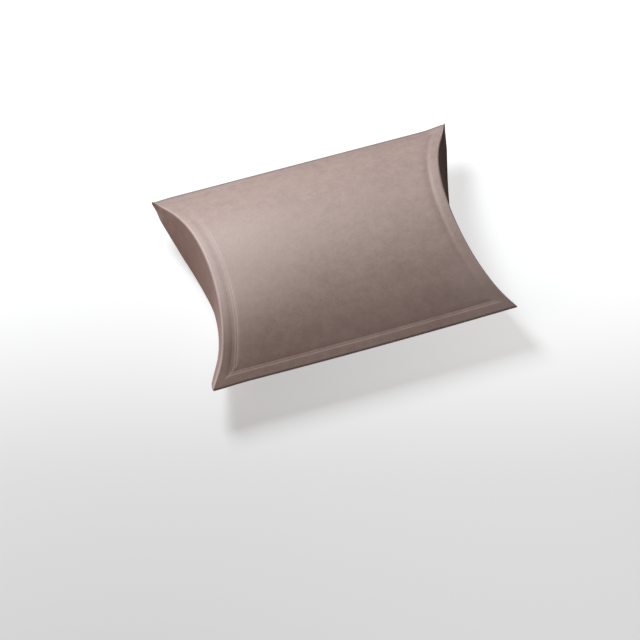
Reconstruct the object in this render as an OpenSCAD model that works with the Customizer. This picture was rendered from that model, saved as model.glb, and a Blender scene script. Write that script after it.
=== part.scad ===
// Pillow-shaped favour box folded from one sheet of board.
// The long sides are folds, and each end is closed by two flaps on curved creases.
// X runs along the box, Y across it and Z up from the face that it rests on.

/* [Box] */
// Length of the box between the tips of its corners
box_l = 100; // [90:1:120]
// Width of the box over its two long side folds
box_w = 80; // [72:1:88]
// Height of the top panel's crown above the side folds
top_rise = 9.7; // [9:0.1:11]
// Depth of the bottom panel's crown below the side folds
bottom_rise = 10.4; // [9.5:0.1:11.5]
// How far the top end creases bow in from the corner tips
end_bow = 10.6; // [10:0.1:12]

/* [Board] */
// Thickness of the board
board = 0.5; // [0.4:0.05:0.6]
// Depth of the flat that the bottom crown rests on
foot_depth = 0.15; // [0.1:0.05:0.2]

/* [End flaps] */
// Air between the outer flap and the inner flap behind it
flap_gap = 0.15; // [0.1:0.05:0.3]
// Air between a flap's edge and the panel beside it
crease_gap = 0.1; // [0.05:0.05:0.15]
// How far the outer flap stops short of the bottom panel's skin
outer_flap_short = 0.6; // [0.4:0.1:1]
// How far the middle of the inner flap reaches above the side folds
inner_flap_reach = 1.8; // [1:0.1:2]
// Solid length left at each corner tip, measured across the box
tip_w = 1.5; // [1.2:0.1:2]

/* [Glued seam] */
// Width of the tab under the top panel
tab_w = 12; // [9:0.5:14]
// Slant of the tab's two ends
tab_bevel = 6; // [4:0.5:8]
// Air between the tab's ends and the inner flaps
tab_clearance = 1; // [0.5:0.1:2]
// Thickness of the dried glue
glue_t = 0.1; // [0.05:0.05:0.15]
// Width of the dried glue
glue_w = 6; // [4:0.5:7]

/* [Pressed border] */
// Distance from the edges to the outer pressed line
line_inset = 3.4; // [3:0.1:4]
// Width of one pressed line
line_w = 0.5; // [0.4:0.05:0.6]
// Distance between the two pressed lines, edge to same edge
line_pitch = 1.1; // [0.9:0.1:1.3]
// Depth of the pressed lines
line_depth = 0.1; // [0.05:0.05:0.15]

/* [Hidden] */
$fn = 240;

LEFT = -1;
RIGHT = 1;
half_l = box_l / 2;
half_w = box_w / 2;

// Long enough for a shape to pass right through the box
through = 2 * box_l;

// Radius of an arc over the box's width with the given rise
function arc_radius(rise) = (half_w * half_w + rise * rise) / (2 * rise);

top_r = arc_radius(top_rise);
bottom_r = arc_radius(bottom_rise);
fold_z = bottom_rise - foot_depth;

// Each end wall is the top panel's curve mirrored in the plane of its end crease
outer_wall = top_r + board;
inner_wall = outer_wall + flap_gap;
inner_wall_back = inner_wall + board;

// Radius of the inner flap's free edge, seen from the end
reach_r = arc_radius(inner_flap_reach);

// The flaps stop where the solid corner tips begin
flap_half_w = half_w - tip_w;
relief_half_w = flap_half_w + crease_gap;

// The glued seam lies under the back edge of the top panel
tab_y = half_w - tab_w;
tab_half_l = half_l - end_bow - 2 * board - tab_clearance;
glue_y = tab_y + (tab_w - glue_w) / 2;
glue_half_l = tab_half_l - tab_bevel;

// Radius, seen from above, of the end creases
plan_r = arc_radius(end_bow);

board_colour = [0.68, 0.6, 0.565];
flap_colour = [0.6, 0.52, 0.485];
inside_colour = [0.74, 0.67, 0.63];
glue_colour = [0.9, 0.87, 0.78];

// Round bar along the box whose top is the crown of a panel
module crown(r, rise, skin_r) {
    translate([0, 0, fold_z + rise - skin_r])
        rotate([0, 90, 0])
            cylinder(r = r, h = through, center = true);
}

// Everything under the top panel's curve, drawn to the radius r
module under_top(r) {
    crown(r, top_rise, top_r);
}

// Everything over the bottom panel's curve, drawn to the radius r
module over_bottom(r) {
    translate([0, 0, fold_z])
        mirror([0, 0, 1])
            translate([0, 0, -fold_z])
                crown(r, bottom_rise, bottom_r);
}

// The space outside one end of the box, up to an end wall of radius r
module beyond_end(side, r) {
    translate([side * half_l, 0, fold_z])
        mirror([side * top_rise, 0, end_bow])
            translate([-side * half_l, 0, -fold_z])
                under_top(r);
}

module beyond_ends(r) {
    for (side = [LEFT, RIGHT])
        beyond_end(side, r);
}

// Block over the middle of the box, half_y wide to each side, from z0 to z1
module middle_block(half_y, z0, z1) {
    translate([-through / 2, -half_y, z0])
        cube([through, 2 * half_y, z1 - z0]);
}

// Outline of a panel seen from above, its edges drawn in by the inset
module panel_outline(inset) {
    difference() {
        square([box_l, box_w - 2 * inset], center = true);
        for (side = [LEFT, RIGHT])
            translate([side * (half_l - end_bow + plan_r), 0])
                circle(r = plan_r + inset);
    }
}

// Upright walls over the two pressed lines
module pressed_lines() {
    for (inset = [line_inset, line_inset + line_pitch])
        linear_extrude(height = through, center = true)
            difference() {
                panel_outline(inset);
                panel_outline(inset + line_w);
            }
}

// Cuts the curved creases, leaving the solid corner tips
module trim_ends(wall_r) {
    difference() {
        children();
        beyond_ends(top_r);
        intersection() {
            beyond_ends(wall_r + crease_gap);
            middle_block(relief_half_w, -through, through);
        }
    }
}

module top_panel() {
    color(board_colour)
        trim_ends(outer_wall)
            difference() {
                intersection() {
                    under_top(top_r);
                    middle_block(half_w, fold_z, through);
                }
                under_top(top_r - board);
                difference() {
                    pressed_lines();
                    under_top(top_r - line_depth);
                }
            }
}

module bottom_panel() {
    color(board_colour)
        trim_ends(inner_wall_back)
            difference() {
                intersection() {
                    over_bottom(bottom_r);
                    middle_block(half_w, 0, fold_z);
                }
                over_bottom(bottom_r - board);
                difference() {
                    pressed_lines();
                    over_bottom(bottom_r - line_depth);
                }
            }
}

// The seam tab, a strip of board that lies against the inside of the top panel
module glue_tab() {
    color(inside_colour)
        intersection() {
            difference() {
                under_top(top_r - board - glue_t);
                under_top(top_r - 2 * board - glue_t);
            }
            over_bottom(bottom_r - board);
            linear_extrude(height = through)
                polygon([
                    [-tab_half_l, half_w],
                    [tab_half_l, half_w],
                    [tab_half_l, tab_y + tab_w / 2],
                    [tab_half_l - tab_bevel, tab_y],
                    [tab_bevel - tab_half_l, tab_y],
                    [-tab_half_l, tab_y + tab_w / 2]
                ]);
        }
}

module glue_line() {
    color(glue_colour)
        intersection() {
            difference() {
                under_top(top_r - board);
                under_top(top_r - board - glue_t);
            }
            translate([-glue_half_l, glue_y, 0])
                cube([2 * glue_half_l, glue_w, through]);
        }
}

// The flap on the top crease, which closes the end from outside
module outer_flap(side) {
    color(flap_colour)
        intersection() {
            difference() {
                beyond_end(side, outer_wall);
                beyond_end(side, top_r);
            }
            under_top(top_r);
            over_bottom(bottom_r - outer_flap_short);
            middle_block(flap_half_w, 0, through);
        }
}

// The flap on the bottom crease, which stands behind the outer one
module inner_flap(side) {
    color(flap_colour)
        intersection() {
            difference() {
                beyond_end(side, inner_wall_back);
                beyond_end(side, inner_wall);
            }
            over_bottom(bottom_r);
            crown(reach_r, inner_flap_reach, reach_r);
            middle_block(flap_half_w, 0, through);
        }
}

module left_outer_flap() {
    outer_flap(LEFT);
}

module left_inner_flap() {
    inner_flap(LEFT);
}

module right_outer_flap() {
    outer_flap(RIGHT);
}

module right_inner_flap() {
    inner_flap(RIGHT);
}

top_panel();
bottom_panel();
glue_tab();
glue_line();
left_outer_flap();
left_inner_flap();
right_outer_flap();
right_inner_flap();
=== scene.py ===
"""Looks of a small pillow-shaped favor box of matte board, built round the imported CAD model."""

import math

import bpy
from mathutils import Matrix, Vector


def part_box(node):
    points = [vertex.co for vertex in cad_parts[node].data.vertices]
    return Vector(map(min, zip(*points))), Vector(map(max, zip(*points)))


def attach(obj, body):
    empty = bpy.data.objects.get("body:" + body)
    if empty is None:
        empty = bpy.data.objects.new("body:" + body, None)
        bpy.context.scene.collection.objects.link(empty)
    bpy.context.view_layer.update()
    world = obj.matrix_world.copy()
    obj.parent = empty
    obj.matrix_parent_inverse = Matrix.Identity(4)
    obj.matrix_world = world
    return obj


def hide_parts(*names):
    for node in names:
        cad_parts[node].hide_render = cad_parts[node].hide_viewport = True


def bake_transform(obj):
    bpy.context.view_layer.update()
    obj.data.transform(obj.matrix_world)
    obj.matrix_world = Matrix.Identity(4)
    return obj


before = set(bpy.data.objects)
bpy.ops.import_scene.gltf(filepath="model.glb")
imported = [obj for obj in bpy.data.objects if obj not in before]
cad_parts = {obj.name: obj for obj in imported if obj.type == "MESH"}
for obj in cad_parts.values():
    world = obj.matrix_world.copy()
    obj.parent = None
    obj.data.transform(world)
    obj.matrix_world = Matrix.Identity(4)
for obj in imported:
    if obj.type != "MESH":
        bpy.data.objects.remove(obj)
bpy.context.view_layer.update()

# Lengths are in millimetres until a mesh is made, in the CAD model's own frame.
MM = 0.001
LEFT, RIGHT = -1, 1
FRONT, BACK = -1, 1


def node_corners(node):
    """Lowest and highest corner of a CAD node."""
    return [[round(value / MM, 3) for value in corner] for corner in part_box(node)]


# Height of the plane in which the panels meet, and half the box's length and width
(_, _, FOLD_Z), (HALF_L, HALF_W, _) = node_corners("top_panel")

# Thickness of the board and of the line of glue
BOARD = 0.5
GLUE = 0.1
# Outer radii of the side folds and of the end creases
FOLD_R = 0.55
CREASE_R = 0.6
# Flat strip of a flap before its crease, so that its shading runs on from the panel's
LEAD = 0.3

# How far the panels rise over the fold plane and drop under it
TOP_RISE = 9.93
BOTTOM_RISE = 10.35
# How far the end creases bow in from the tips, and how much fuller than a parabola their curve is
TOP_BOW = 10.1
TOP_FULLNESS = 0.35
BOTTOM_BOW = 9.1
BOTTOM_FULLNESS = -0.5
# Distances from the middle over which the layers of an end thin out towards its tips, and by how much
TIP_ZONE = (32.0, 39.4)
TIP_THINNING = 0.92

# The top panel ends in a cut edge on the back fold. The bottom panel runs lower there, for the seam tab.
SEAM_CUT_Y = 39.3
BACK_DROP = 0.55
BACK_DROP_FROM = 24.0

# Steepness of the panels from the middle, 0, to the side folds, 1, before scaling to the rise
TOP_SLOPES = [(0.0, 0.0), (0.15, 0.05), (0.3, 0.107), (0.5, 0.206), (0.65, 0.307), (0.75, 0.387),
              (0.82, 0.416), (0.87, 0.404), (0.898, 0.398), (0.918, 0.372), (1.0, 0.364)]
BOTTOM_SLOPES = [(0.0, 0.0), (0.2, 0.57), (0.4, 1.045), (0.6, 1.35), (0.73, 1.417),
                 (0.85, 1.36), (1.0, 1.15)]
SLOPE_STEPS = 400
FITTING_ROUNDS = 20
# Half the stretch over which the slope of a curve is measured
SLOPE_REACH = 0.05


def clamp(value):
    return max(0.0, min(1.0, value))


def smooth(low, high, value):
    """Rises smoothly from 0 to 1 as the value goes from low to high."""
    t = clamp((value - low) / (high - low))
    return t * t * (3 - 2 * t)


def lerp(a, b, t):
    return a + (b - a) * t


def in_table(points, value):
    """Reads a table of (place, amount) pairs, and goes straight from each pair to the next."""
    if value <= points[0][0]:
        return points[0][1]
    for (u0, v0), (u1, v1) in zip(points, points[1:]):
        if value <= u1:
            return lerp(v0, v1, (value - u0) / (u1 - u0))
    return points[-1][1]


def steepness(curve, place):
    return (curve(place + SLOPE_REACH) - curve(place - SLOPE_REACH)) / (2 * SLOPE_REACH)


class Section:
    """Cross-section of a panel: how far its skin stands off the fold plane, by distance from the middle."""

    def __init__(self, slopes, rise):
        steps = [in_table(slopes, (k + 0.5) / SLOPE_STEPS) for k in range(SLOPE_STEPS)]
        scale = 1.0
        for _ in range(FITTING_ROUNDS):
            tilt = math.atan(slopes[-1][1] * scale)
            edge_height = FOLD_R * math.cos(tilt)
            self.edge_y = HALF_W - FOLD_R + FOLD_R * math.sin(tilt)
            scale = (rise - edge_height) / (sum(steps) / SLOPE_STEPS * self.edge_y)
        self.tilt = tilt
        self.heights = [edge_height]
        for step in reversed(steps):
            self.heights.append(self.heights[-1] + step * scale * self.edge_y / SLOPE_STEPS)
        self.heights.reverse()

    def height(self, y):
        y = abs(y)
        if y >= self.edge_y:
            across = min(FOLD_R, y - (HALF_W - FOLD_R))
            return math.sqrt(max(0.0, FOLD_R * FOLD_R - across * across))
        place = y / self.edge_y * SLOPE_STEPS
        k = min(int(place), SLOPE_STEPS - 1)
        return lerp(self.heights[k], self.heights[k + 1], place - k)


top_section = Section(TOP_SLOPES, TOP_RISE)
bottom_section = Section(BOTTOM_SLOPES, BOTTOM_RISE)


def bow_share(y, fullness=0.0):
    """Share of a crease's bow, from 1 at its middle to 0 at its tips."""
    u = min(1.0, abs(y) / HALF_W)
    return (1 - u * u) * (1 + fullness * u * u)


def top_end_x(y):
    """Distance of the top crease's edge from the middle of the box."""
    return HALF_L - TOP_BOW * bow_share(y, TOP_FULLNESS)


def bottom_end_x(y):
    """Distance of the outer flap's free edge from the middle of the box."""
    return HALF_L - BOTTOM_BOW * bow_share(y, BOTTOM_FULLNESS)


def tip_taper(y):
    """1 along an end crease, falling towards 0 at its tips, where the layers run together."""
    return 1 - TIP_THINNING * smooth(*TIP_ZONE, abs(y))


def back_drop(y):
    return BACK_DROP * smooth(BACK_DROP_FROM, SEAM_CUT_Y, y)


def top_z(y):
    return FOLD_Z + top_section.height(y)


def bottom_z(y):
    return max(0.0, FOLD_Z - bottom_section.height(y) - back_drop(y))


# Pressed border

# Slope by distance from an end crease and from a side fold: it dips to a line and climbs out over another
END_BORDER = {LEFT: [(1.5, 0.0), (2.0, -0.05), (2.6, -0.08), (2.85, -0.12), (3.0, -0.09), (3.14, 0.0),
                     (3.27, 0.02), (3.42, 0.0), (3.6, -0.04), (3.74, 0.0), (3.9, 0.06), (4.04, 0.13),
                     (4.15, 0.22), (4.26, 0.21), (4.37, 0.04), (4.48, -0.08), (4.6, 0.0),
                     (4.7, 0.17), (4.8, 0.27), (4.92, 0.23), (5.04, 0.1), (5.25, 0.05), (5.6, 0.04),
                     (6.0, 0.02), (6.8, 0.0)],
              RIGHT: [(1.6, 0.0), (2.1, -0.03), (2.4, -0.05), (2.7, -0.09), (2.9, -0.12), (3.1, -0.14),
                      (3.3, -0.12), (3.5, -0.09), (3.65, -0.06), (3.8, -0.02), (3.95, 0.05),
                      (4.1, 0.1), (4.25, 0.09), (4.4, 0.06), (4.55, 0.07), (4.7, 0.11),
                      (4.85, 0.11), (5.0, 0.08), (5.2, 0.05), (5.6, 0.03), (6.0, 0.01), (6.8, 0.0)]}
SIDE_BORDER = [(1.9, 0.0), (2.46, -0.02), (2.68, -0.07), (2.8, -0.28), (2.9, -0.4), (3.0, 0.0),
               (3.14, 0.05), (3.3, -0.07), (3.45, -0.2), (3.58, -0.1), (3.76, 0.02), (3.9, 0.1),
               (4.04, 0.11), (4.15, 0.08), (4.48, 0.05), (5.04, 0.035), (5.4, 0.015), (6.0, 0.0),
               (6.5, 0.0)]
# The plain strip between an end crease and the border leans a little
END_STRIP = [(0.6, 0.0), (0.9, 1.0), (1.6, 1.0), (2.3, 0.0)]
STRIP_LEAN = {LEFT: 0.04, RIGHT: -0.02}
# How deep the border is pressed along each end, by distance from front to back
END_DEPTH = {LEFT: [(-37.0, 1.0), (-31.5, 1.7), (-22.0, 1.5), (-11.0, 0.72), (-2.0, 0.36), (40.0, 0.3)],
             RIGHT: [(-30.0, 0.75), (-20.0, 0.8), (2.0, 0.62), (16.0, 0.95), (30.0, 0.85)]}
# How much further in than its table says the border lies along each end
BORDER_SHIFT = {LEFT: 0.15, RIGHT: 0.0}
# Width of the whole border, and the step at which its heights are worked out
BORDER_END = 7.0
BORDER_STEP = 0.05
# Half the width over which an end's border runs into a side's, where they meet in a mitre
MITRE = 0.55
# Nearer than this to a side fold, nothing is pressed
UNPRESSED = 0.6


def summed(slopes):
    """Heights at each step over a border, from its slopes."""
    slopes = [(0.0, 0.0)] + slopes + [(BORDER_END, 0.0)]
    heights = [0.0]
    for step in range(int(BORDER_END / BORDER_STEP)):
        heights.append(heights[-1] + in_table(slopes, (step + 0.5) * BORDER_STEP) * BORDER_STEP)
    return heights


end_border = {side: summed(slopes) for side, slopes in END_BORDER.items()}
side_border = summed(SIDE_BORDER)
end_strip = summed(END_STRIP)


def border_lift(heights, inset):
    """Height of a border over its panel. What it climbs in all is taken off evenly, so it ends level."""
    place = min(max(inset, 0.0), BORDER_END)
    k = min(int(place / BORDER_STEP), len(heights) - 2)
    lift = lerp(heights[k], heights[k + 1], place / BORDER_STEP - k)
    return lift - heights[-1] * place / BORDER_END


def border_height(x, y, side_inset, end_inset):
    """How far the pressed border lifts the skin, from the insets from the side fold and the end crease."""
    if side_inset <= UNPRESSED:
        return 0.0
    side = LEFT if x < 0 else RIGHT
    pressed = end_inset - BORDER_SHIFT[side]
    at_end = smooth(-MITRE, MITRE, side_inset - pressed)
    end_lift = (border_lift(end_border[side], pressed) * in_table(END_DEPTH[side], y)
                + border_lift(end_strip, end_inset) * STRIP_LEAN[side])
    return lerp(border_lift(side_border, side_inset), end_lift, at_end)


# How the real box has settled

# How the tips of the corners stand off their true places, and how far around it shows
CORNER_MOVES = [(LEFT, BACK, 8.0, (0.9, -0.3, 0.0)),
                (LEFT, FRONT, 12.0, (-0.65, -0.5, 0.0)),
                (RIGHT, BACK, 9.0, (-0.75, 0.0, 0.95))]
# The back fold stands out in the middle of the box, more towards its left end and less towards its right
BACK_OUT = 0.24
BACK_TURN = 0.76
# The front fold bows out in the middle of the box, and stands out more towards its right end
FRONT_BOW = 0.6
FRONT_OUT = 0.15
FRONT_TURN = 0.15
# How much lower the crown of the top panel is at its right end, from where to where along the box, and how
# the crown ends towards the folds, as shares of the half width
FLATTER_RIGHT = 0.55
FLATTER_ZONE = (-30.0, 40.0)
CROWN_EDGE = (0.5, 0.95)
# How far the ends have shifted along X, by distance from front to back: their top and bottom creases
TOP_SHIFTS = {LEFT: [(-40.0, -0.1), (24.0, -0.12), (40.0, 0.0)],
              RIGHT: [(8.0, 0.0), (20.0, 0.25), (30.0, 0.5), (36.0, 0.6), (40.0, 0.0)]}
BOTTOM_SHIFTS = {LEFT: [(-40.0, 0.0), (-38.5, -0.6), (-36.0, -0.9), (-31.0, -0.6), (-25.0, -0.1),
                        (-20.0, 0.0), (-2.0, 0.0), (6.0, -0.5), (12.0, -0.7), (20.0, -0.8),
                        (27.0, -0.4), (33.0, 0.05), (37.0, 0.25), (40.0, 0.0)],
                 RIGHT: [(-40.0, 0.0), (0.0, 0.15), (16.0, 0.2), (20.0, 0.1), (25.0, -0.08),
                         (31.0, -0.3), (34.0, -0.36), (40.0, 0.0)]}
# Distances from the middle of the box over which the shift of an end comes in
SHIFT_ZONE = (25.0, 40.0)


def settle(point):
    """Moves a point as the real box has settled: side folds a little bowed, and corners not quite true."""
    u, v = point.y / HALF_W, point.x / HALF_L
    front, back = max(0.0, -u) ** 2, max(0.0, u) ** 2
    shift = Vector((0, back * (BACK_OUT - BACK_TURN * v), 0))
    shift.y -= front * (FRONT_BOW * (1 - v * v) + FRONT_OUT + FRONT_TURN * v)
    side = LEFT if point.x < 0 else RIGHT
    top, bottom = top_z(point.y), bottom_z(point.y)
    low = smooth(0.0, 1.0, (top - point.z) / max(top - bottom, BOARD))
    slip = lerp(in_table(TOP_SHIFTS[side], point.y), in_table(BOTTOM_SHIFTS[side], point.y), low)
    shift.x += slip * smooth(*SHIFT_ZONE, abs(point.x))
    crown = 1 - smooth(*CROWN_EDGE, abs(u))
    shift.z -= FLATTER_RIGHT * smooth(*FLATTER_ZONE, point.x) * crown * (1 - low)
    for end, fold, reach, move in CORNER_MOVES:
        gap = math.hypot(point.x - end * HALF_L, point.y - fold * HALF_W)
        shift += Vector(move) * (1 - smooth(0.0, reach, gap))
    settled = point + shift
    settled.z = max(0.0, settled.z)
    return settled


# Sheets of board

# Places of a sheet's materials: its outer skin, its inner skin, its cut edges and the wall of a flap
FACE, INSIDE, CUT_EDGE, WALL = range(4)
SHARP_ANGLE = math.radians(38)


def mesh_normals(grid):
    """Unit normals of a grid of points, facing the side that the rows and columns turn to."""
    rows, columns = len(grid), len(grid[0])
    found = []
    for i in range(rows):
        line = []
        for j in range(columns):
            along = grid[min(i + 1, rows - 1)][j] - grid[max(i - 1, 0)][j]
            across = grid[i][min(j + 1, columns - 1)] - grid[i][max(j - 1, 0)]
            normal = along.cross(across)
            line.append(normal.normalized() if normal.length > 1e-9 else Vector((0, 0, 1)))
        found.append(line)
    return found


def board_sheet(name, grid, thickness, painted_shading, outward, wall_from=math.inf):
    """A sheet of board: its outer skin is the grid of points, and its inner skin lies one thickness behind.

    Thickness and painted shading are functions of a point of the grid: painted shading is painted light
    where it is above 0 and painted shade where it is below. From column wall_from on, the outer skin is that
    of a flap's wall.
    """
    rows, columns = len(grid), len(grid[0])
    skin = rows * columns
    settled = [[settle(point) for point in line] for line in grid]
    normals = mesh_normals(settled)
    turn = 1 if normals[rows // 2][columns // 2].dot(Vector(outward)) > 0 else -1
    points = [point for line in settled for point in line]
    for i in range(rows):
        for j in range(columns):
            points.append(settled[i][j] - normals[i][j] * turn * thickness(grid[i][j]))
    painted_light = [painted_shading(point) for line in grid for point in line] + [0.0] * skin
    faces, kinds = [], []

    def add(kind, *corners):
        faces.append(corners if turn > 0 else corners[::-1])
        kinds.append(kind)

    def add_edge(start, step, flip):
        corners = (start, skin + start, skin + start + step, start + step)
        add(CUT_EDGE, *(corners[::-1] if flip else corners))

    for i in range(rows - 1):
        for j in range(columns - 1):
            a, b = i * columns + j, (i + 1) * columns + j
            add(FACE if j < wall_from else WALL, a, b, b + 1, a + 1)
            add(INSIDE, skin + a, skin + a + 1, skin + b + 1, skin + b)
    for i in range(rows - 1):
        add_edge(i * columns, columns, False)
        add_edge(i * columns + columns - 1, columns, True)
    for j in range(columns - 1):
        add_edge(j, 1, True)
        add_edge((rows - 1) * columns + j, 1, False)
    mesh = bpy.data.meshes.new(name)
    mesh.from_pydata([tuple(point * MM) for point in points], [], faces)
    for polygon, kind in zip(mesh.polygons, kinds):
        polygon.use_smooth = True
        polygon.material_index = kind
    # Painted light and shade of each point, which the materials turn into paler and darker colour
    attribute = mesh.attributes.new("painted_shading", "FLOAT", "POINT")
    attribute.data.foreach_set("value", painted_light)
    mesh.set_sharp_from_angle(angle=SHARP_ANGLE)
    mesh.validate()
    mesh.update()
    piece = bpy.data.objects.new(name, mesh)
    bpy.context.scene.collection.objects.link(piece)
    return piece


# Panels

# Distances of the mesh lines from an edge, close together at the pressed border
INSETS = [1.3, 1.9, 2.4, 2.62, 2.75, 2.87, 2.99, 3.14, 3.27, 3.42, 3.6, 3.74, 3.9, 4.04, 4.15, 4.26,
          4.37, 4.48, 4.6, 4.7, 4.8, 4.92, 5.04, 5.25, 5.6, 6.0, 6.7, 7.5, 8.4, 9.5, 10.8, 12.2, 13.6,
          15.0]
# Two more next to a side fold, and how many steps go round the fold
FOLD_INSETS = [1.0, 0.75]
FOLD_STEPS = 5
# How many steps lie inside them, to the middle of a panel and from end to end
ROWS_INSIDE = 12
COLUMNS_INSIDE = 18
# Inset of a mesh line that no border reaches
FAR_IN = 99.0
# Least gap between two mesh lines next to an end crease
LINE_GAP = 0.02
# Gap between an outer flap and the bottom crease and inner flap behind it
FLAP_GAP = 0.15


def bottom_crease_x(y):
    """Distance of the bottom crease's edge from the middle of the box."""
    return bottom_end_x(y) - (BOARD + FLAP_GAP) * tip_taper(y)


def across_places(section, side, cut_at=None):
    """Mesh lines from the middle of a panel to one side: how far across they are, and in from the fold."""
    inner_y = HALF_W - INSETS[-1]
    places = [inner_y * k / ROWS_INSIDE for k in range(ROWS_INSIDE)]
    places += [HALF_W - inset for inset in [*reversed(INSETS), *FOLD_INSETS]]
    if cut_at is None:
        turn = math.pi / 2 - section.tilt
        for k in range(FOLD_STEPS + 1):
            places.append(HALF_W - FOLD_R + FOLD_R * math.cos(turn * (1 - k / FOLD_STEPS)))
    else:
        places = [y for y in places if y < cut_at]
    return [(side * y, HALF_W - y) for y in places]


def both_sides(front, back):
    """Joins the halves of a list that both start in the middle."""
    return front[:0:-1] + back


def end_steps(y, stretch, side):
    """Distances along X of the panel's mesh lines from its end crease, from where the flap takes over."""
    start = (CREASE_R + LEAD) * tip_taper(y)
    return [start] + [max((inset + BORDER_SHIFT[side]) * stretch, start + LINE_GAP * k)
                      for k, inset in enumerate(INSETS, 1)]


def panel_grid(places, end_x, skin_z, up):
    """Outer skin of a panel, with the double line pressed in along its four edges."""
    grid = []
    for y, inset in places:
        # An end crease runs aslant near its tips, where one step straight in from it is longer along X
        stretch = math.hypot(1.0, steepness(end_x, y))
        left = [(d - end_x(y), d / stretch) for d in end_steps(y, stretch, LEFT)]
        right = [(end_x(y) - d, d / stretch) for d in reversed(end_steps(y, stretch, RIGHT))]
        x0, x1 = left[-1][0], right[0][0]
        inside = [(lerp(x0, x1, k / COLUMNS_INSIDE), FAR_IN) for k in range(1, COLUMNS_INSIDE)]
        outwards = BACK if y > 0 else FRONT
        normal = Vector((0, -steepness(skin_z, abs(y)) * outwards, 1)).normalized() * up
        grid.append([Vector((x, y, skin_z(y))) + normal * border_height(x, y, inset, end_inset)
                     for x, end_inset in left + inside + right])
    return grid


top_places = both_sides(across_places(top_section, FRONT),
                        across_places(top_section, BACK, cut_at=SEAM_CUT_Y))
bottom_places = both_sides(across_places(bottom_section, FRONT), across_places(bottom_section, BACK))
top_grid = panel_grid(top_places, top_end_x, top_z, 1)
bottom_grid = panel_grid(bottom_places, bottom_crease_x, bottom_z, -1)

# Where the wrapped fold ends, and how much shorter at each end than the top panel it is under it
WRAP_END_Y = 38.6
WRAP_SHORT = 0.25


def under_top(x, y, depth):
    """The point at a depth under the top panel's skin, measured along its normal."""
    return Vector((x, y, top_z(y))) - Vector((0, -steepness(top_z, y), 1)).normalized() * depth


def wrap_rows():
    """The back fold, which carries on from the bottom panel round into the seam tab."""
    centre_y, centre_z = HALF_W - FOLD_R, FOLD_Z - back_drop(HALF_W)
    last = bottom_grid[-1]
    rows = []
    for k in range(1, FOLD_STEPS + 1):
        angle = (math.pi / 2 - top_section.tilt) * k / FOLD_STEPS
        y = centre_y + FOLD_R * math.cos(angle)
        z = centre_z + FOLD_R * math.sin(angle)
        rows.append([Vector((point.x, y, z)) for point in last])
    for y in (SEAM_CUT_Y, WRAP_END_Y):
        widest = top_end_x(y) - WRAP_SHORT
        rows.append([under_top(max(-widest, min(widest, point.x)), y, BOARD + GLUE) for point in last])
    return rows


bottom_grid += wrap_rows()

# Painted shading is 0 on plain board, more where light is painted on it pale, and less where shade is
# painted on it dark.

# How much light and shade is painted on the panels along each end, paler above 0 and darker below, by
# distance from front to back, and how far from the middle of the box that comes in
END_PAINTED_SHADING = {LEFT: [(-38.0, 0.15), (-32.0, 0.5), (-26.0, 0.62), (-18.0, 0.66), (-10.0, 0.65),
                  (-4.0, 0.2), (2.0, -0.04), (8.0, -0.12), (17.0, -0.12), (24.0, -0.02),
                  (34.0, -0.06), (40.0, -0.06)],
           RIGHT: [(-38.0, 0.4), (-30.0, 0.75), (-22.0, 0.65), (-14.0, 0.22), (-6.0, 0.0),
                   (10.0, 0.1), (22.0, 0.2), (30.0, 0.0)]}
END_SHADING_ZONE = (26.0, 42.0)
# Painted light on an oval patch of the left half: its middle, its half sizes and how pale it is
PATCH_X, PATCH_Y = -32.0, -14.0
PATCH_HALF_L, PATCH_HALF_W = 26.0, 12.0
PATCH_PALE = 0.31
# Shares of its half sizes between which it fades out
PATCH_FADE = (0.2, 1.0)
# Painted light at the front too, right of the patch: how much, and where that starts along X and towards the
# front
FRONT_PALE = 0.19
FRONT_PALE_X = (-30.0, -8.0)
FRONT_PALE_Y = (22.0, 28.0)
# So is the back: how much, where it starts and where it ends towards the back, and how it lessens along X
BACK_PALE = 0.08
BACK_PALE_START = (16.0, 28.0)
BACK_PALE_END = (30.0, 37.0)
BACK_PALE_LOSS = 0.06
BACK_LOSS_X = (-20.0, 20.0)
# Painted shade darkens the back along the seam, most of all on its fold, and a painted highlight makes the
# front fold paler
SEAM_SHADE = 0.15
SEAM_ZONE = (30.0, 36.5)
SEAM_FOLD_SHADE = 0.9
SEAM_FOLD_ZONE = (HALF_W - 1.5, HALF_W - 0.95)
FRONT_FOLD_HIGHLIGHT = 0.6
FRONT_FOLD_ZONE = (HALF_W - 0.9, HALF_W - 0.1)
# Where the panels get thinner towards the tips of the corners, and by how much
PANEL_TIP_X = (HALF_L - 7.5, HALF_L - 1.5)
PANEL_TIP_Y = (36.0, 39.4)
PANEL_THINNING = 0.6


def end_painted_shading(point):
    side = LEFT if point.x < 0 else RIGHT
    return in_table(END_PAINTED_SHADING[side], point.y) * smooth(*END_SHADING_ZONE, abs(point.x))


def painted_pale_areas(point):
    """Painted light: paler on a patch of the left half, at the front right of it, and at the back."""
    off_patch = math.hypot((point.x - PATCH_X) / PATCH_HALF_L, (point.y - PATCH_Y) / PATCH_HALF_W)
    patch = 1 - smooth(*PATCH_FADE, off_patch)
    front = smooth(*FRONT_PALE_X, point.x) * smooth(*FRONT_PALE_Y, -point.y)
    back = smooth(*BACK_PALE_START, point.y) * (1 - smooth(*BACK_PALE_END, point.y))
    back_pale = BACK_PALE - BACK_PALE_LOSS * smooth(*BACK_LOSS_X, point.x)
    return PATCH_PALE * patch + FRONT_PALE * front + back_pale * back


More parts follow.
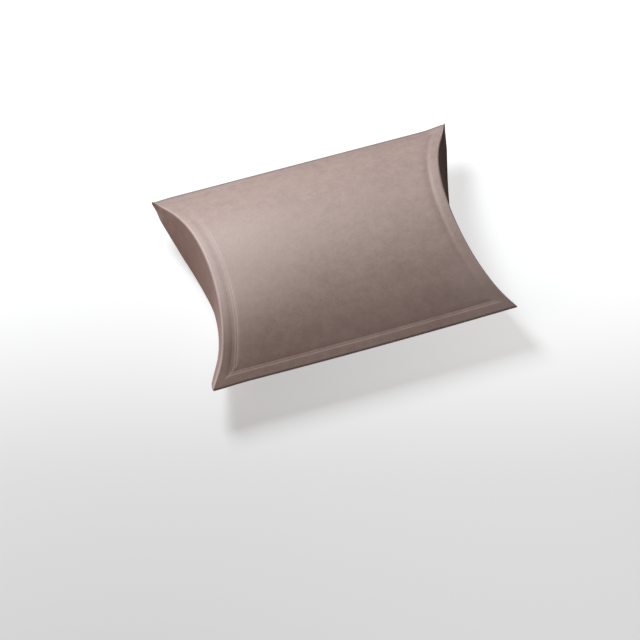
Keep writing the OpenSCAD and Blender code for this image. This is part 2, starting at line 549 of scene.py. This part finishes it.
# Painted light and shade of a panel: pale at the ends and patches, dark along the seam, a painted highlight
# on the front fold
def panel_painted_shading(point):
    lightened = end_painted_shading(point) + painted_pale_areas(point)
    if point.y > 0:
        return (lightened - SEAM_SHADE * smooth(*SEAM_ZONE, point.y)
                - SEAM_FOLD_SHADE * smooth(*SEAM_FOLD_ZONE, point.y))
    return lightened + FRONT_FOLD_HIGHLIGHT * smooth(*FRONT_FOLD_ZONE, -point.y)


def panel_board(point):
    """Thickness of a panel."""
    at_tip = smooth(*PANEL_TIP_Y, abs(point.y)) * smooth(*PANEL_TIP_X, abs(point.x))
    return BOARD * (1 - PANEL_THINNING * at_tip)


top_panel = board_sheet("top_board", top_grid, panel_board, panel_painted_shading, (0, 0, 1))
bottom_panel = board_sheet("bottom_board", bottom_grid, panel_board, panel_painted_shading, (0, 0, -1))


# End flaps

UP, DOWN = 1, -1
ARC_STEPS = 7
WALL_STEPS = 26
# Widest gap between the mesh lines across a flap
COLUMN_GAP = 0.8
# How far short of the side folds the flaps end
FLAP_TIP = 0.02
# How far above the bottom crease the outer flap ends
OUTER_SHORT = 0.55
# How far the inner flap reaches over the fold plane, its room under the top panel, and the least height of
# its wall
INNER_REACH = 1.8
INNER_ROOM = 0.3
INNER_LEAST = 0.05


def flap_columns(section):
    """Places across a flap, from tip to tip."""
    places = [y for y, _ in across_places(section, BACK) if y < HALF_W - FLAP_TIP]
    half = []
    for y, next_y in zip(places, places[1:]):
        parts = math.ceil((next_y - y) / COLUMN_GAP)
        half += [lerp(y, next_y, k / parts) for k in range(parts)]
    half.append(places[-1])
    return both_sides([-y for y in half], half)


def crease_points(side, y, edge_x, z, turn, way):
    """The flat lead of a flap and its crease, rounded through an angle from level towards up or down."""
    radius, lead = CREASE_R * tip_taper(y), LEAD * tip_taper(y)
    points = [Vector((side * (edge_x - radius - lead), y, z))]
    for k in range(ARC_STEPS + 1):
        angle = turn * k / ARC_STEPS
        points.append(Vector((side * (edge_x - radius + radius * math.sin(angle)), y,
                              z + way * (radius - radius * math.cos(angle)))))
    return points


def wall_points(start, end):
    return [start.lerp(end, k / WALL_STEPS) for k in range(1, WALL_STEPS + 1)]


def outer_flap(side):
    """Outer skin of an outer flap, from the top crease down to its free edge at the bottom crease."""
    grid = []
    for y in flap_columns(top_section):
        edge_x, z = top_end_x(y), top_z(y)
        low_x, low_z = bottom_end_x(y), bottom_z(y) + OUTER_SHORT * tip_taper(y)
        lean = math.atan2(low_x - edge_x, z - low_z)
        line = crease_points(side, y, edge_x, z, math.pi / 2 - lean, DOWN)
        grid.append(line + wall_points(line[-1], Vector((side * low_x, y, low_z))))
    return grid


def inner_flap(side):
    """Outer skin of an inner flap, from the bottom crease up behind the outer flap."""
    grid = []
    for y in flap_columns(bottom_section):
        taper = tip_taper(y)
        high_x, high_z, low_x, z = top_end_x(y), top_z(y), bottom_end_x(y), bottom_z(y)
        lean = math.atan2(low_x - high_x, high_z - z)
        line = crease_points(side, y, bottom_crease_x(y), z, math.pi / 2 + lean, UP)
        free_z = min(FOLD_Z + INNER_REACH * bow_share(y), high_z - (BOARD + INNER_ROOM) * taper)
        free_z = max(free_z, line[-1].z + INNER_LEAST)
        share = (free_z - z) / (high_z - z)
        free_x = lerp(low_x, high_x, share) - (BOARD + FLAP_GAP) * taper
        grid.append(line + wall_points(line[-1], Vector((side * free_x, y, free_z))))
    return grid


def flap_board(point):
    """Thickness of a flap."""
    return BOARD * tip_taper(point.y)


# Painted light on the left outer flap's wall: how much paler it is, by distance from front to back
WALL_PALE = [(-34.0, 0.0), (-24.0, 0.6), (8.0, 0.72), (17.0, 0.42), (25.0, -0.06), (30.0, 0.0)]
# Over what distance from a crease its painted light fades out, down the wall and in over the panel
WALL_FADE = (0.25, 1.1)
PANEL_FADE = (0.4, 0.8)
# How much further down it reaches at the front corners, where those start, and how much brighter the painted
# highlight on the crease is there and along its front half
CORNER_FADE = 1.6
CORNER_ZONE = (26.0, 34.0)
CORNER_HIGHLIGHT = 0.5
FRONT_HALF = (0.0, 15.0)
FRONT_HALF_HIGHLIGHT = 0.5


# Painted highlight along the top crease, painted light and shade of its end, and painted light on the left
# wall
def outer_painted_shading(point):
    corner = smooth(*CORNER_ZONE, -point.y)
    amount = 1 + FRONT_HALF_HIGHLIGHT * smooth(*FRONT_HALF, -point.y) + CORNER_HIGHLIGHT * corner
    start, end = WALL_FADE
    at_crease = 1 - smooth(start, end + CORNER_FADE * corner, top_z(point.y) - point.z)
    on_top = 1 - smooth(*PANEL_FADE, top_end_x(point.y) - abs(point.x))
    wall = in_table(WALL_PALE, point.y) * (1 - at_crease) if point.x < 0 else 0.0
    return amount * at_crease * on_top + end_painted_shading(point) * at_crease + wall


# Painted highlight along the inner flap's crease
def inner_painted_shading(point):
    return 1 - smooth(*WALL_FADE, point.z - bottom_z(point.y))


flaps = {}
for side, side_name in ((LEFT, "left"), (RIGHT, "right")):
    outward = (side, 0, 0)
    flaps[side_name, "outer"] = board_sheet(side_name + "_outer_board", outer_flap(side),
                                            flap_board, outer_painted_shading, outward, ARC_STEPS)
    flaps[side_name, "inner"] = board_sheet(side_name + "_inner_board", inner_flap(side),
                                            flap_board, inner_painted_shading, outward, ARC_STEPS)


# Glued seam

(_, TAB_Y, _), (TAB_HALF_L, _, _) = node_corners("glue_tab")
(_, GLUE_Y0, _), (GLUE_HALF_L, GLUE_Y1, _) = node_corners("glue_line")
# The tab's corners are bevelled at 45 degrees, down to a free edge as long as the glue
TAB_BEVEL = TAB_HALF_L - GLUE_HALF_L
TAB_START_Y = 38.0
TAB_STEPS = 12
# Gap between the glue and the board on either side of it
GLUE_ROOM = 0.01
# Height, pitch as an angle for each millimetre, and start of the waves along the glue's edges
GLUE_WAVES = {GLUE_Y0: [(0.35, 0.63, 0.0), (0.2, 1.71, 1.0)],
              GLUE_Y1: [(0.3, 0.57, 2.0), (0.2, 1.9, 0.0)]}
GLUE_LONG_STEPS = 40
GLUE_WIDE_STEPS = 8


def tab_grid():
    """The seam tab, from the end of the wrapped fold to its bevelled free edge under the top panel."""
    wrap_end = bottom_grid[-1][0]
    grid = []
    for k in range(TAB_STEPS + 1):
        share = k / TAB_STEPS * 2 - 1
        line = [Vector((share * TAB_HALF_L, wrap_end.y, wrap_end.z))]
        for m in range(TAB_STEPS + 1):
            y = lerp(TAB_START_Y, TAB_Y, m / TAB_STEPS)
            half = TAB_HALF_L - TAB_BEVEL * clamp((TAB_Y + TAB_BEVEL - y) / TAB_BEVEL)
            line.append(under_top(share * half, y, BOARD + GLUE))
        grid.append(line)
    return grid


def glue_edge(y, x):
    return y + sum(height * math.sin(x * pitch + start) for height, pitch, start in GLUE_WAVES[y])


def glue_grid():
    """A spread line of glue with wavering edges."""
    grid = []
    for k in range(GLUE_LONG_STEPS + 1):
        x = (k / GLUE_LONG_STEPS * 2 - 1) * GLUE_HALF_L
        y0, y1 = glue_edge(GLUE_Y0, x), glue_edge(GLUE_Y1, x)
        grid.append([under_top(x, lerp(y0, y1, m / GLUE_WIDE_STEPS), BOARD + GLUE_ROOM)
                     for m in range(GLUE_WIDE_STEPS + 1)])
    return grid


def tab_board(point):
    return BOARD


def glue_depth(point):
    return GLUE - 2 * GLUE_ROOM


# No painted light or shade
def unpainted(point):
    return 0.0


tab = board_sheet("seam_tab", tab_grid(), tab_board, unpainted, (0, 0, 1))
glue = board_sheet("glue_spread", glue_grid(), glue_depth, unpainted, (0, 0, 1))


# Materials

def new_material(name):
    material = bpy.data.materials.new(name)
    material.use_nodes = True
    nodes, links = material.node_tree.nodes, material.node_tree.links
    nodes.clear()
    return material, nodes, links, nodes.new("ShaderNodeOutputMaterial")


def noise(nodes, links, coords, scale, detail, stretch=(1, 1, 1), turn=0.0, roughness=0.5):
    """Noise whose scale is for each millimetre."""
    mapping = nodes.new("ShaderNodeMapping")
    mapping.inputs["Scale"].default_value = tuple(share / MM for share in stretch)
    mapping.inputs["Rotation"].default_value = (0, 0, turn)
    links.new(coords, mapping.inputs["Vector"])
    texture = nodes.new("ShaderNodeTexNoise")
    texture.inputs["Scale"].default_value = scale
    texture.inputs["Detail"].default_value = detail
    texture.inputs["Roughness"].default_value = roughness
    links.new(mapping.outputs["Vector"], texture.inputs["Vector"])
    return texture.outputs["Fac"]


def math_node(nodes, links, operation, a, b):
    node = nodes.new("ShaderNodeMath")
    node.operation = operation
    for socket, value in zip(node.inputs, (a, b)):
        if isinstance(value, (int, float)):
            socket.default_value = value
        else:
            links.new(value, socket)
    return node.outputs[0]


def weighted(nodes, links, parts):
    """Sum of (texture - 0.5) times its weight."""
    total = None
    for texture, weight in parts:
        centred = math_node(nodes, links, "SUBTRACT", texture, 0.5)
        term = math_node(nodes, links, "MULTIPLY", centred, weight)
        total = term if total is None else math_node(nodes, links, "ADD", total, term)
    return total


def weighted_share(nodes, links, parts):
    """The same sum about 0.5, to mix two colours by."""
    return math_node(nodes, links, "ADD", weighted(nodes, links, parts), 0.5)


def mixed(nodes, links, share, first, second):
    """A mix of two colours. Each is three numbers or comes from another node."""
    mix = nodes.new("ShaderNodeMix")
    mix.data_type = "RGBA"
    links.new(share, mix.inputs["Factor"])
    for socket, colour in (("A", first), ("B", second)):
        if isinstance(colour, tuple):
            mix.inputs[socket].default_value = (*colour, 1)
        else:
            links.new(colour, mix.inputs[socket])
    return mix.outputs["Result"]


def add_bump(nodes, links, shader, height, strength, distance):
    bump = nodes.new("ShaderNodeBump")
    bump.inputs["Strength"].default_value = strength
    bump.inputs["Distance"].default_value = distance * MM
    links.new(height, bump.inputs["Height"])
    links.new(bump.outputs["Normal"], shader.inputs["Normal"])


# Share of the board's dark colour that is left where painted shade is full
FULL_SHADE_SHARE = 0.45
# How far the pale colour of painted light covers where it is painted fully, more on the high spots of its
# grain
PALE_COVER = 0.75
PALE_BASE = 0.35
# How much rougher the paler patches of the board are than the darker ones
PATCH_ROUGHNESS = 0.16


def board_material(name, dark, light, painted_light, mottle=1.0, roughness=0.5, gloss=1.0):
    """Matte board: cloudy mottling, crossed fibres and fine grain in colour, roughness and bump, with light
    and shade painted in from the mesh.
    """
    material, nodes, links, output = new_material(name)
    shader = nodes.new("ShaderNodeBsdfPrincipled")
    links.new(shader.outputs["BSDF"], output.inputs["Surface"])
    coords = nodes.new("ShaderNodeTexCoord").outputs["Object"]
    clouds = noise(nodes, links, coords, 0.06, 2.0)
    patches = noise(nodes, links, coords, 0.3, 5.0, roughness=0.85)
    grain = noise(nodes, links, coords, 2.6, 3.0, roughness=0.7)
    along = noise(nodes, links, coords, 1.0, 3.0, stretch=(0.6, 2.6, 2.6), turn=0.5)
    across = noise(nodes, links, coords, 1.0, 3.0, stretch=(2.6, 0.6, 1.0), turn=-0.4)
    share = weighted_share(nodes, links, [(clouds, 0.4 * mottle), (patches, 2.15 * mottle),
                                          (grain, 0.95 * mottle), (along, 0.25 * mottle),
                                          (across, 0.25 * mottle)])
    mottled = mixed(nodes, links, share, dark, light)
    # Painted light mixes in the pale colour, and painted shade darkens towards the board's dark colour
    painted_shading = nodes.new("ShaderNodeAttribute")
    painted_shading.attribute_name = "painted_shading"
    lighten = math_node(nodes, links, "MAXIMUM", painted_shading.outputs["Fac"], 0.0)
    lighten = math_node(nodes, links, "MULTIPLY", lighten, math_node(nodes, links, "ADD", grain, PALE_BASE))
    lighten = math_node(nodes, links, "MULTIPLY", lighten, PALE_COVER)
    lightened = mixed(nodes, links, lighten, mottled, painted_light)
    darken = math_node(nodes, links, "MULTIPLY", painted_shading.outputs["Fac"], -1.0)
    darken = math_node(nodes, links, "MAXIMUM", darken, 0.0)
    darkened = mixed(nodes, links, darken, lightened, tuple(FULL_SHADE_SHARE * part for part in dark))
    links.new(darkened, shader.inputs["Base Color"])
    rough = math_node(nodes, links, "MULTIPLY", patches, PATCH_ROUGHNESS)
    rough = math_node(nodes, links, "ADD", rough, roughness - PATCH_ROUGHNESS / 2)
    links.new(rough, shader.inputs["Roughness"])
    shader.inputs["Specular IOR Level"].default_value = gloss
    shader.inputs["Specular Tint"].default_value = (1.0, 0.89, 0.84, 1)
    height = weighted(nodes, links, [(grain, 0.8), (along, 0.7), (across, 0.6), (patches, 0.8)])
    add_bump(nodes, links, shader, height, 0.5, 0.05)
    return material


def glue_material():
    """Dried glue: yellowish and a little glossy, with brush streaks."""
    material, nodes, links, output = new_material("dried_glue")
    shader = nodes.new("ShaderNodeBsdfPrincipled")
    links.new(shader.outputs["BSDF"], output.inputs["Surface"])
    coords = nodes.new("ShaderNodeTexCoord").outputs["Object"]
    streaks = noise(nodes, links, coords, 1.0, 3.0, stretch=(0.25, 1.6, 1.6))
    drops = noise(nodes, links, coords, 1.5, 2.0)
    share = weighted_share(nodes, links, [(streaks, 1.2), (drops, 0.8)])
    links.new(mixed(nodes, links, share, (0.60, 0.50, 0.34), (0.84, 0.78, 0.62)),
              shader.inputs["Base Color"])
    rough = math_node(nodes, links, "MULTIPLY", drops, 0.3)
    links.new(math_node(nodes, links, "ADD", rough, 0.2), shader.inputs["Roughness"])
    add_bump(nodes, links, shader, streaks, 0.6, 0.08)
    return material


# The third colour of each is the pale colour of painted light
face = board_material("board_face", (0.35, 0.243, 0.213), (0.49, 0.345, 0.305),
                      (0.60, 0.46, 0.417))
flap_face = board_material("board_flap", (0.35, 0.249, 0.221), (0.49, 0.354, 0.317),
                           (0.60, 0.47, 0.43), roughness=0.75, gloss=0.02)
inside = board_material("board_inside", (0.40, 0.295, 0.262), (0.52, 0.40, 0.36),
                        (0.60, 0.48, 0.44), mottle=1.2, roughness=0.8)
cut_edge = board_material("board_cut_edge", (0.44, 0.35, 0.31), (0.62, 0.52, 0.47),
                          (0.70, 0.60, 0.55), mottle=1.6, roughness=0.88)
dried_glue = glue_material()

board_finishes = {FACE: face, INSIDE: inside, CUT_EDGE: cut_edge, WALL: flap_face}
for piece in [top_panel, bottom_panel, tab, *flaps.values()]:
    for kind in (FACE, INSIDE, CUT_EDGE, WALL):
        piece.data.materials.append(board_finishes[kind])
for _ in (FACE, INSIDE, CUT_EDGE):
    glue.data.materials.append(dried_glue)
# Both skins of the tab have the finish of the board's inside
for polygon in tab.data.polygons:
    if polygon.material_index == FACE:
        polygon.material_index = INSIDE


# What each piece rides on and stands for

for piece, node, slot in ((top_panel, "top_panel", "board_face"),
                          (bottom_panel, "bottom_panel", "board_face"),
                          (tab, "glue_tab", "board_inside"),
                          (glue, "glue_line", "dried_glue")):
    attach(piece, "box")
    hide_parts(node)

# Each flap's place is baked into its mesh, and the CAD flap that it stands for is hidden
for side, side_name in ((LEFT, "left"), (RIGHT, "right")):
    for kind, edge_x, edge_z in (("outer", top_end_x(0), top_z(0)),
                                 ("inner", bottom_crease_x(0), bottom_z(0))):
        piece = flaps[side_name, kind]
        # Square to the plane through the middle of the crease and its tips, towards the fold plane
        towards = Vector((side * (FOLD_Z - edge_z), 0, edge_x - HALF_L))
        if towards.z * (edge_z - FOLD_Z) > 0:
            towards = -towards
        towards.normalize()
        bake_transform(piece)
        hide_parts(side_name + "_" + kind + "_flap")


# Floor

FLOOR_HALF = 3.0
# Two directions over the floor, turned a little from the box's own: to its back and to its right
TO_BACK = (0.335, 0.943, 0)
TO_RIGHT = (0.943, -0.335, 0)
# Where its own brightness changes along each, in metres from the middle of the box, and from what to what
BACK_SPAN = (-0.092, 0.02)
BACK_VALUES = (0.965, 1.5)
RIGHT_SPAN = (-0.09, 0.12)
RIGHT_VALUES = (0.975, 1.26)
# Share of the floor's look that is plain white under the lights, with the box's shadow. The rest is its own
# brightness.
LIT_SHARE = 0.6


def graded(nodes, links, place, direction, span, values):
    """A value that changes smoothly over a span along a direction."""
    along = nodes.new("ShaderNodeVectorMath")
    along.operation = "DOT_PRODUCT"
    links.new(place, along.inputs[0])
    along.inputs[1].default_value = direction
    grading = nodes.new("ShaderNodeMapRange")
    grading.interpolation_type = "SMOOTHSTEP"
    for socket, value in zip(("From Min", "From Max", "To Min", "To Max"), (*span, *values)):
        grading.inputs[socket].default_value = value
    links.new(along.outputs["Value"], grading.inputs["Value"])
    return grading.outputs["Result"]


def diffuse(nodes, colour):
    shader = nodes.new("ShaderNodeBsdfDiffuse")
    shader.inputs["Color"].default_value = (*colour, 1)
    return shader.outputs[0]


def mixed_shaders(nodes, links, share, first, second):
    mix = nodes.new("ShaderNodeMixShader")
    if isinstance(share, float):
        mix.inputs["Fac"].default_value = share
    else:
        links.new(share, mix.inputs["Fac"])
    links.new(first, mix.inputs[1])
    links.new(second, mix.inputs[2])
    return mix.outputs[0]


def floor_material():
    """Floor that is seen pale, with the box's shadow on it, but throws only a little light on the box."""
    material, nodes, links, output = new_material("floor")
    place = nodes.new("ShaderNodeTexCoord").outputs["Object"]
    to_back = graded(nodes, links, place, TO_BACK, BACK_SPAN, BACK_VALUES)
    to_right = graded(nodes, links, place, TO_RIGHT, RIGHT_SPAN, RIGHT_VALUES)
    white = nodes.new("ShaderNodeEmission")
    white.inputs["Color"].default_value = (1, 1, 1, 1)
    links.new(math_node(nodes, links, "MULTIPLY", to_back, to_right), white.inputs["Strength"])
    seen = mixed_shaders(nodes, links, LIT_SHARE, white.outputs[0], diffuse(nodes, (0.9, 0.9, 0.9)))
    path = nodes.new("ShaderNodeLightPath").outputs
    rays = math_node(nodes, links, "MAXIMUM", path["Is Camera Ray"], path["Is Glossy Ray"])
    rays = math_node(nodes, links, "MAXIMUM", rays, path["Is Transmission Ray"])
    dull = diffuse(nodes, (0.28, 0.217, 0.193))
    links.new(mixed_shaders(nodes, links, rays, dull, seen), output.inputs["Surface"])
    return material


floor_mesh = bpy.data.meshes.new("floor")
floor_mesh.from_pydata([(-FLOOR_HALF, -FLOOR_HALF, 0), (FLOOR_HALF, -FLOOR_HALF, 0),
                        (FLOOR_HALF, FLOOR_HALF, 0), (-FLOOR_HALF, FLOOR_HALF, 0)],
                       [], [(0, 1, 2, 3)])
floor = bpy.data.objects.new("floor", floor_mesh)
bpy.context.scene.collection.objects.link(floor)
floor_mesh.materials.append(floor_material())


# Light

CENTRE = Vector((0, 0, FOLD_Z * MM))


def soft_light(name, azimuth, elevation, distance, size, watts, colour):
    """Square soft light aimed at the box. Azimuth is measured from +Y towards -X."""
    a, e = math.radians(azimuth), math.radians(elevation)
    away = Vector((-math.sin(a) * math.cos(e), math.cos(a) * math.cos(e), math.sin(e)))
    lamp = bpy.data.lights.new(name, "AREA")
    lamp.shape = "SQUARE"
    lamp.size = size
    lamp.energy = watts
    lamp.color = colour
    light = bpy.data.objects.new(name, lamp)
    light.location = CENTRE + away * distance
    light.visible_camera = False
    light.rotation_mode = "QUATERNION"
    light.rotation_quaternion = away.to_track_quat("Z", "Y")
    bpy.context.scene.collection.objects.link(light)


soft_light("key", 17, 41, 0.45, 0.17, 1.91, (0.985, 1.035, 1.075))
soft_light("fill", 95, 28, 0.8, 0.5, 1.34, (1.0, 0.86, 0.78))

world = bpy.data.worlds.new("studio")
world.use_nodes = True
background = world.node_tree.nodes["Background"]
background.inputs["Color"].default_value = (1.0, 0.79, 0.68, 1)
background.inputs["Strength"].default_value = 0.05
bpy.context.scene.world = world


# Camera: the photograph's view, through a long lens from the front left, well above the box, a little rolled

VIEW_FROM_LEFT = math.radians(9.8)
VIEW_ABOVE = math.radians(51.2)
VIEW_ROLL = math.radians(-7.7)
PICTURE = 640
PIXELS_PER_M = 3124.0
DISTANCE = 3.125
# Where in the picture the middle of the box is
CENTRE_PIXEL = (332.1, 255.1)
SENSOR = 36.0

forward = Vector((math.sin(VIEW_FROM_LEFT) * math.cos(VIEW_ABOVE),
                  math.cos(VIEW_FROM_LEFT) * math.cos(VIEW_ABOVE), -math.sin(VIEW_ABOVE)))
level = forward.cross(Vector((0, 0, 1))).normalized()
upright = level.cross(forward)
right = level * math.cos(VIEW_ROLL) + upright * math.sin(VIEW_ROLL)
up = upright * math.cos(VIEW_ROLL) - level * math.sin(VIEW_ROLL)
aim = (right * (CENTRE_PIXEL[0] - PICTURE / 2) + up * (PICTURE / 2 - CENTRE_PIXEL[1])) / PIXELS_PER_M
lens = bpy.data.cameras.new("camera")
lens.sensor_width = SENSOR
lens.lens = SENSOR * PIXELS_PER_M * DISTANCE / PICTURE
lens.clip_start = 0.1
lens.clip_end = 20.0
camera = bpy.data.objects.new("camera", lens)
camera.matrix_world = Matrix.Translation(CENTRE - forward * DISTANCE - aim) @ Matrix(
    (right, up, -forward)).transposed().to_4x4()
bpy.context.scene.collection.objects.link(camera)
bpy.context.scene.camera = camera
bpy.context.scene.view_settings.view_transform = "Standard"
